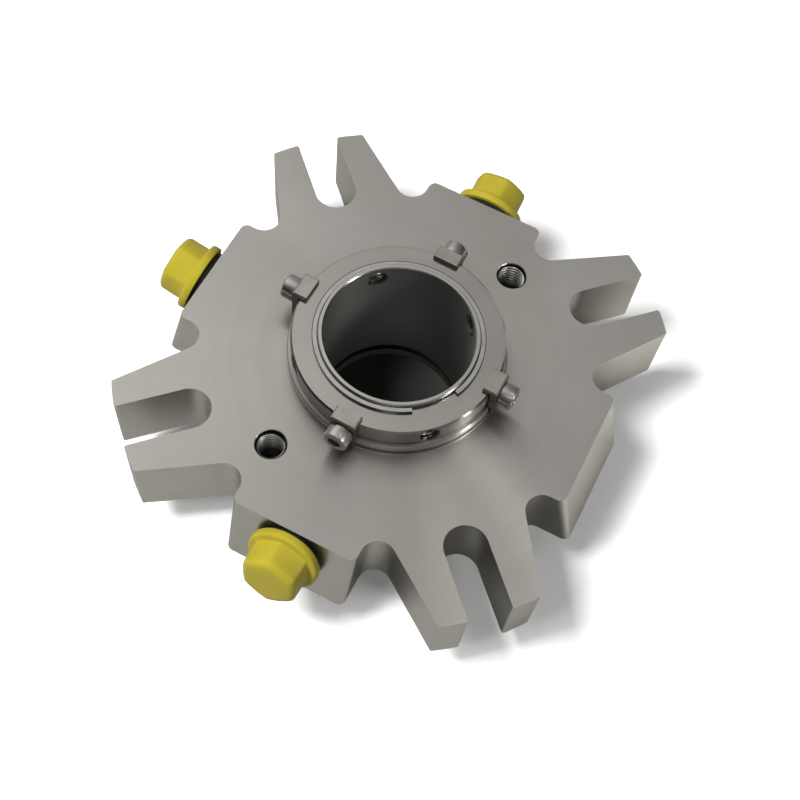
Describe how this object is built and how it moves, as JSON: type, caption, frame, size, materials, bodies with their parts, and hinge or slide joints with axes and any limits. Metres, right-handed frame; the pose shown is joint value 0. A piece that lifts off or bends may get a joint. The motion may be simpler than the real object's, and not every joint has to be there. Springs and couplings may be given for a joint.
{
  "type": "cartridge mechanical seal",
  "caption": "Cartridge shaft seal with a slotted star-shaped gland plate, clipped drive collar, tilted port plugs and a flanged sleeve.",
  "frame": {"origin": "on the shaft axis, in the gland plate's mounting face", "axes": "+Z along the shaft away from the machine, +X and +Y through bolt slots"},
  "size_m": [0.2252, 0.2252, 0.0698],
  "materials": {
    "gland_steel": "satin stainless steel",
    "sleeve_steel": "fine turned stainless steel",
    "collar_steel": "polished stainless steel",
    "clip_steel": "pressed stainless steel",
    "screw_steel": "stainless steel screw",
    "spring_steel": "spring steel",
    "rubber": "black rubber",
    "gasket": "compressed fibre gasket",
    "carbon": "carbon graphite",
    "silicon_carbide": "lapped silicon carbide",
    "plug_yellow": "yellow moulded plastic"
  },
  "bodies": {
    "gland": {"gland_plate": "gland_steel", "gland_gasket": "gasket", "stop_pins": "screw_steel", "throttle_bushing": "carbon", "bushing_ring": "spring_steel", "wave_spring": "spring_steel"},
    "carbon": {"stationary_face": "carbon", "stationary_o_ring": "rubber"},
    "rotor": {"shaft_sleeve": "sleeve_steel", "shaft_o_ring": "rubber", "rotary_face": "silicon_carbide", "rotary_o_ring": "rubber", "drive_pins": "screw_steel", "drive_collar": "collar_steel", "retaining_ring": "spring_steel"},
    "set_screw_1": {"set_screw_1": "screw_steel"},
    "set_screw_2": {"set_screw_2": "screw_steel"},
    "set_screw_3": {"set_screw_3": "screw_steel"},
    "set_screw_4": {"set_screw_4": "screw_steel"},
    "clip_1": {"setting_clip_1": "clip_steel"},
    "clip_screw_1": {"clip_screw_1": "screw_steel"},
    "clip_2": {"setting_clip_2": "clip_steel"},
    "clip_screw_2": {"clip_screw_2": "screw_steel"},
    "clip_3": {"setting_clip_3": "clip_steel"},
    "clip_screw_3": {"clip_screw_3": "screw_steel"},
    "clip_4": {"setting_clip_4": "clip_steel"},
    "clip_screw_4": {"clip_screw_4": "screw_steel"},
    "plug_1": {"port_plug_1": "plug_yellow", "plug_seal_1": "rubber"},
    "plug_2": {"port_plug_2": "plug_yellow", "plug_seal_2": "rubber"},
    "plug_3": {"port_plug_3": "plug_yellow", "plug_seal_3": "rubber"}
  },
  "joints": [
    {"name": "rotor_spin", "type": "hinge", "parent": "gland", "child": "rotor", "pos_m": [0, 0, 0], "axis": [0, 0, 1], "continuous": true},
    {"name": "face_float", "type": "slide", "parent": "gland", "child": "carbon", "axis": [0, 0, 1], "range_m": [0, 0.0015], "stiffness_N_per_m": 20000, "springref_m": -0.001, "deforming": ["wave_spring"]},
    {"name": "set_screw_1_turn", "type": "slide", "parent": "rotor", "child": "set_screw_1", "axis": [0.9997, -0.0244, 0], "range_m": [-0.0006, 0.01]},
    {"name": "set_screw_2_turn", "type": "slide", "parent": "rotor", "child": "set_screw_2", "axis": [0.0244, 0.9997, 0], "range_m": [-0.0006, 0.01]},
    {"name": "set_screw_3_turn", "type": "slide", "parent": "rotor", "child": "set_screw_3", "axis": [-0.9997, 0.0244, 0], "range_m": [-0.0006, 0.01]},
    {"name": "set_screw_4_turn", "type": "slide", "parent": "rotor", "child": "set_screw_4", "axis": [-0.0244, -0.9997, 0], "range_m": [-0.0006, 0.01]},
    {"name": "clip_1_off", "type": "slide", "parent": "rotor", "child": "clip_1", "axis": [0.7242, 0.6896, 0], "range_m": [0, 0.012]},
    {"name": "clip_screw_1_turn", "type": "slide", "parent": "clip_1", "child": "clip_screw_1", "axis": [0.7242, 0.6896, 0], "range_m": [0, 0.012]},
    {"name": "clip_2_off", "type": "slide", "parent": "rotor", "child": "clip_2", "axis": [-0.6896, 0.7242, 0], "range_m": [0, 0.012]},
    {"name": "clip_screw_2_turn", "type": "slide", "parent": "clip_2", "child": "clip_screw_2", "axis": [-0.6896, 0.7242, 0], "range_m": [0, 0.012]},
    {"name": "clip_3_off", "type": "slide", "parent": "rotor", "child": "clip_3", "axis": [-0.7242, -0.6896, 0], "range_m": [0, 0.012]},
    {"name": "clip_screw_3_turn", "type": "slide", "parent": "clip_3", "child": "clip_screw_3", "axis": [-0.7242, -0.6896, 0], "range_m": [0, 0.012]},
    {"name": "clip_4_off", "type": "slide", "parent": "rotor", "child": "clip_4", "axis": [0.6896, -0.7242, 0], "range_m": [0, 0.012]},
    {"name": "clip_screw_4_turn", "type": "slide", "parent": "clip_4", "child": "clip_screw_4", "axis": [0.6896, -0.7242, 0], "range_m": [0, 0.012]},
    {"name": "plug_1_out", "type": "slide", "parent": "gland", "child": "plug_1", "axis": [0.6861, 0.6861, 0.2419], "range_m": [0, 0.025]},
    {"name": "plug_2_out", "type": "slide", "parent": "gland", "child": "plug_2", "axis": [-0.6861, 0.6861, 0.2419], "range_m": [0, 0.025]},
    {"name": "plug_3_out", "type": "slide", "parent": "gland", "child": "plug_3", "axis": [-0.6861, -0.6861, 0.2419], "range_m": [0, 0.025]}
  ]
}
